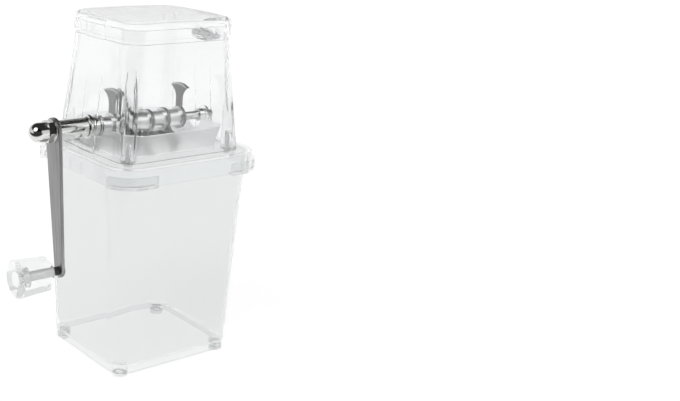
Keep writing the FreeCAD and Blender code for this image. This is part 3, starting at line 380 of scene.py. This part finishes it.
# ------------------------------------------------------------------------------------------------
# Spacers. Four rings parted from steel tube, which keep the blades apart on the shaft. They are
# tumbled after turning, so they are brighter and smoother than the shaft.
# ------------------------------------------------------------------------------------------------
spacer_steel = turned_steel("tumbled_steel_spacers", colour="E8E8E8", ring_width=0.6, shine=(0.24, 0.36))
for spacer in sorted(name for name in nodes if name.startswith("spacer_")):
    refined(spacer, "crank", spacer_steel, edge=0.15)

# ------------------------------------------------------------------------------------------------
# Lid and hinge pin. The lid is a crowned cap in clear SAN with a thumb tab, thinner and so paler
# than the hopper, and a zinc plated pin through three knuckles holds it.
# ------------------------------------------------------------------------------------------------
lid_san = clear_moulding("polished_clear_san_lid", tint="FFFFFF", cast=4, sink_width=22, sink_depth=0.02,
                         roughness=0.04, index=1.22, leak=0.9)
refined("lid", "lid", lid_san, edge=0.2)
refined("hinge_pin", "head", zinc, edge=0.2)

# ------------------------------------------------------------------------------------------------
# Crank sleeve, washer and cap nut. Nickel plated like the bearings: the sleeve spaces the arm off
# the wall, and the domed nut clamps arm and washer on the end of the shaft. The dome's outline touches
# the nut's flats, and rounding folds the face between them, so the nut's edges stay sharp.
# ------------------------------------------------------------------------------------------------
for plated, edge in (("crank_sleeve", 0), ("crank_washer", 0.15), ("cap_nut", 0)):
    refined(plated, "crank", nickel, edge)

# ------------------------------------------------------------------------------------------------
# Crank arm. Flat stainless bar, punched square for the shaft and brushed along its length, which
# gives it long dull streaks. The real lines are too fine to show, so they are drawn at 1.5 mm.
# ------------------------------------------------------------------------------------------------
ARM_LEAN = -6.5
arm_steel = brushed_steel("brushed_stainless_arm", colour="A8A8A8", line_size=(1.5, 1.5, 45),
                          lean=ARM_LEAN, shine=(0.3, 0.46))
refined("crank_arm", "crank", arm_steel, edge=0.3)

# ------------------------------------------------------------------------------------------------
# Knob and its pin. The knob is clear acrylic, turned and polished. The pin is bright steel inside
# it, and drawn near black, faintly mottled, from the step to the riveted end.
# ------------------------------------------------------------------------------------------------
NECK_END = -86.4
pin_steel, pin_place = new_material("riveted_steel_pin")
pin_axes = add_node(pin_steel, "ShaderNodeSeparateXYZ", links={"Vector": pin_place})
neck = add_node(pin_steel, "ShaderNodeMapRange",
                {"From Min": (NECK_END - 0.1) * MM, "From Max": (NECK_END + 0.1) * MM},
                {"Value": pin_axes.outputs["X"]})
# From the step to the riveted end the pin is drawn near black with a faint mottle.
neck_mottle = add_node(pin_steel, "ShaderNodeTexNoise", {"Scale": 1 / (1.0 * MM), "Detail": 2.0},
                     {"Vector": pin_place})
dark_neck_tone = add_node(pin_steel, "ShaderNodeMix", {6: linear("242424"), 7: linear("4A4848")},
                  {0: neck_mottle.outputs["Fac"]}, data_type="RGBA")
pin_colour = add_node(pin_steel, "ShaderNodeMix", {6: linear("EDEDED")},
                      {0: neck.outputs[0], 7: dark_neck_tone.outputs[2]}, data_type="RGBA")
pin_dull = add_node(pin_steel, "ShaderNodeMapRange", {"To Min": 0.45, "To Max": 0.42},
                    {"Value": neck.outputs[0]})
pin_surface = add_node(pin_steel, "ShaderNodeBsdfPrincipled", {"Metallic": 0.35},
                       {"Base Color": pin_colour.outputs[2], "Roughness": pin_dull.outputs[0]})
add_node(pin_steel, "ShaderNodeOutputMaterial", links={"Surface": pin_surface.outputs["BSDF"]})
refined("knob_pin", "crank", pin_steel, edge=0.2)

acrylic = clear_moulding("polished_clear_acrylic", tint="F7F8F8", cast=8, sink_width=15, sink_depth=0.01,
                         roughness=0.04, index=1.3, leak=0.85)
refined("knob", "knob", acrylic, edge=0.3)

# ------------------------------------------------------------------------------------------------
# Floor. A wide white surface that takes the object's shadow. What the eye, the metal and the plastic
# see of it is lifted a little, so that it shows white without more light on the object. Beyond a line
# in front on the crank's side, what polished metal mirrors of it is painted dark: a painted dark
# reflection that the eye doesn't see on the floor.
# ------------------------------------------------------------------------------------------------
FLOOR_WIDTH = 16
FLOOR_LIFT = 0.36
# The line and the direction past which the floor is painted dark for what polished metal mirrors.
MIRRORED_DARK_LINE = 0.34
TOWARDS_MIRRORED_DARK = (-0.85, -0.53, 0.0)

bpy.ops.object.select_all(action="DESELECT")
bpy.ops.mesh.primitive_plane_add(size=FLOOR_WIDTH)
floor = bpy.context.object
floor.name = "studio_floor"
floor_white, floor_place = new_material("white_studio_floor")
rays = add_node(floor_white, "ShaderNodeLightPath")
seen = add_node(floor_white, "ShaderNodeMath", operation="ADD", use_clamp=True,
                links=[(0, rays.outputs["Is Camera Ray"]), (1, rays.outputs["Is Glossy Ray"])])
seen_too = add_node(floor_white, "ShaderNodeMath", operation="ADD", use_clamp=True,
                    links=[(0, seen.outputs[0]), (1, rays.outputs["Is Transmission Ray"])])
paint = add_node(floor_white, "ShaderNodeBsdfDiffuse", {"Color": linear("E4E4E4")})
lift = add_node(floor_white, "ShaderNodeEmission", {"Color": linear("FFFFFF")})
lifted = add_node(floor_white, "ShaderNodeMath", {1: FLOOR_LIFT}, {0: seen_too.outputs[0]},
                  operation="MULTIPLY")
floor_white.node_tree.links.new(lifted.outputs[0], lift.inputs["Strength"])
both = add_node(floor_white, "ShaderNodeAddShader", links=[(0, paint.outputs[0]), (1, lift.outputs[0])])
# Past that line, what metal mirrors of the floor is painted dark, a painted dark reflection; the eye still
# sees it white.
towards_mirrored_dark = add_node(floor_white, "ShaderNodeVectorMath", {1: TOWARDS_MIRRORED_DARK}, {0: floor_place},
                        operation="DOT_PRODUCT")
past_mirrored_dark_line = add_node(floor_white, "ShaderNodeMapRange",
                     {"From Min": MIRRORED_DARK_LINE - 0.12, "From Max": MIRRORED_DARK_LINE + 0.1},
                     {"Value": towards_mirrored_dark.outputs["Value"]}, interpolation_type="SMOOTHSTEP")
mirrored = add_node(floor_white, "ShaderNodeMath", {1: 1.0}, {0: rays.outputs["Glossy Depth"]},
                    operation="MINIMUM")
painted_dark_reflection_share = add_node(floor_white, "ShaderNodeMath",
                         links=[(0, past_mirrored_dark_line.outputs[0]), (1, mirrored.outputs[0])], operation="MULTIPLY")
painted_dark_for_mirrors = add_node(floor_white, "ShaderNodeBsdfDiffuse", {"Color": linear("3A3A3A")})
floor_and_painted_dark = add_node(floor_white, "ShaderNodeMixShader",
                 links=[(0, painted_dark_reflection_share.outputs[0]), (1, both.outputs[0]), (2, painted_dark_for_mirrors.outputs[0])])
add_node(floor_white, "ShaderNodeOutputMaterial", links={"Surface": floor_and_painted_dark.outputs[0]})
floor.data.materials.append(floor_white)

# ------------------------------------------------------------------------------------------------
# Light. A white studio with two soft lamps. Polished metal also needs something dark to show, so
# reflections find a dark ceiling, and a dark room on the crank's side beyond the floor. Plastic finds
# the studio white, except where it shows what metal mirrors.
# ------------------------------------------------------------------------------------------------
TOWARDS_ROOM = (-0.59, -0.79, 0.15)
PLAIN_LEVEL = 0.7
STUDIO_GREY = (0.8, 0.8, 0.8, 1.0)
SOFT_BOX_SPREAD = 40

studio = bpy.data.worlds.new("white_studio")
bpy.context.scene.world = studio
studio.use_nodes = True
studio.node_tree.nodes.clear()
gaze = add_node(studio, "ShaderNodeTexCoord")
split = add_node(studio, "ShaderNodeSeparateXYZ", links={"Vector": gaze.outputs["Generated"]})
ceiling = add_node(studio, "ShaderNodeMapRange",
                   {"From Min": 0.34, "From Max": 0.56, "To Min": 1.0, "To Max": 0.04},
                   {"Value": split.outputs["Z"]}, interpolation_type="SMOOTHSTEP")
towards_room = add_node(studio, "ShaderNodeVectorMath", {1: TOWARDS_ROOM},
                        {0: gaze.outputs["Generated"]}, operation="DOT_PRODUCT")
room = add_node(studio, "ShaderNodeMapRange",
                {"From Min": 0.5, "From Max": 0.78, "To Min": 1.0, "To Max": 0.06},
                {"Value": towards_room.outputs["Value"]}, interpolation_type="SMOOTHSTEP")
dark_parts = add_node(studio, "ShaderNodeMath", links=[(0, ceiling.outputs[0]), (1, room.outputs[0])],
                      operation="MULTIPLY")
world_rays = add_node(studio, "ShaderNodeLightPath")
for_metal = add_node(studio, "ShaderNodeMix", {"A": PLAIN_LEVEL},
                     {"Factor": world_rays.outputs["Is Glossy Ray"], "B": dark_parts.outputs[0]},
                     data_type="FLOAT")
mirrored_before = add_node(studio, "ShaderNodeMath", {1: 1.0}, {0: world_rays.outputs["Glossy Depth"]},
                           operation="MINIMUM")
behind_plastic = add_node(studio, "ShaderNodeMix", {"A": 1.0},
                          {"Factor": mirrored_before.outputs[0], "B": dark_parts.outputs[0]},
                          data_type="FLOAT")
for_plastic = add_node(studio, "ShaderNodeMix",
                       links={"Factor": world_rays.outputs["Is Transmission Ray"],
                              "A": for_metal.outputs[0], "B": behind_plastic.outputs[0]},
                       data_type="FLOAT")
sky = add_node(studio, "ShaderNodeMix", {"B": 1.0},
               {"Factor": world_rays.outputs["Is Camera Ray"], "A": for_plastic.outputs[0]},
               data_type="FLOAT")
air = add_node(studio, "ShaderNodeBackground", {"Color": STUDIO_GREY}, {"Strength": sky.outputs[0]})
add_node(studio, "ShaderNodeOutputWorld", links={"Surface": air.outputs[0]})


def wide_lamp(name, strength, azimuth, elevation, mirrored):
    """A far soft box: light from one side that fills a wide angle, mirrored by metal or not."""
    turn, rise = math.radians(azimuth), math.radians(elevation)
    direction = Vector((math.sin(turn) * math.cos(rise), -math.cos(turn) * math.cos(rise), math.sin(rise)))
    lamp = bpy.data.lights.new(name, "SUN")
    lamp.energy = strength
    lamp.angle = math.radians(SOFT_BOX_SPREAD)
    holder = bpy.data.objects.new(name, lamp)
    holder.rotation_euler = direction.to_track_quat("Z", "Y").to_euler()
    holder.visible_glossy = mirrored
    bpy.context.scene.collection.objects.link(holder)


wide_lamp("key_soft_box", strength=1.0, azimuth=-75, elevation=45, mirrored=True)
wide_lamp("fill_soft_box", strength=0.5, azimuth=40, elevation=40, mirrored=False)

# ------------------------------------------------------------------------------------------------
# Camera. A little above the lid, off the front corner on the crank's side.
# ------------------------------------------------------------------------------------------------
CAMERA_AZIMUTH = -36.18
CAMERA_ELEVATION = 16.38
CAMERA_ROLL = 2.45
CAMERA_DISTANCE = 0.7613
CAMERA_TARGET = Vector((0, 0, 0.125))
FOCAL_LENGTH = 55.4
FRAME_SHIFT = (0.2858, -0.0244)

turn, rise, roll = (math.radians(angle) for angle in (CAMERA_AZIMUTH, CAMERA_ELEVATION, CAMERA_ROLL))
back = Vector((math.sin(turn) * math.cos(rise), -math.cos(turn) * math.cos(rise), math.sin(rise)))
level_right = Vector((math.cos(turn), math.sin(turn), 0))
level_up = back.cross(level_right)
right = level_right * math.cos(roll) + level_up * math.sin(roll)
up = level_up * math.cos(roll) - level_right * math.sin(roll)
lens = bpy.data.cameras.new("camera")
lens.lens = FOCAL_LENGTH
lens.sensor_width = 36
lens.shift_x, lens.shift_y = FRAME_SHIFT
camera = bpy.data.objects.new("camera", lens)
camera.matrix_world = (Matrix.Translation(CAMERA_TARGET + back * CAMERA_DISTANCE)
                       @ Matrix((right, up, back)).transposed().to_4x4())
bpy.context.scene.collection.objects.link(camera)
bpy.context.scene.camera = camera
bpy.context.scene.view_settings.view_transform = "Standard"
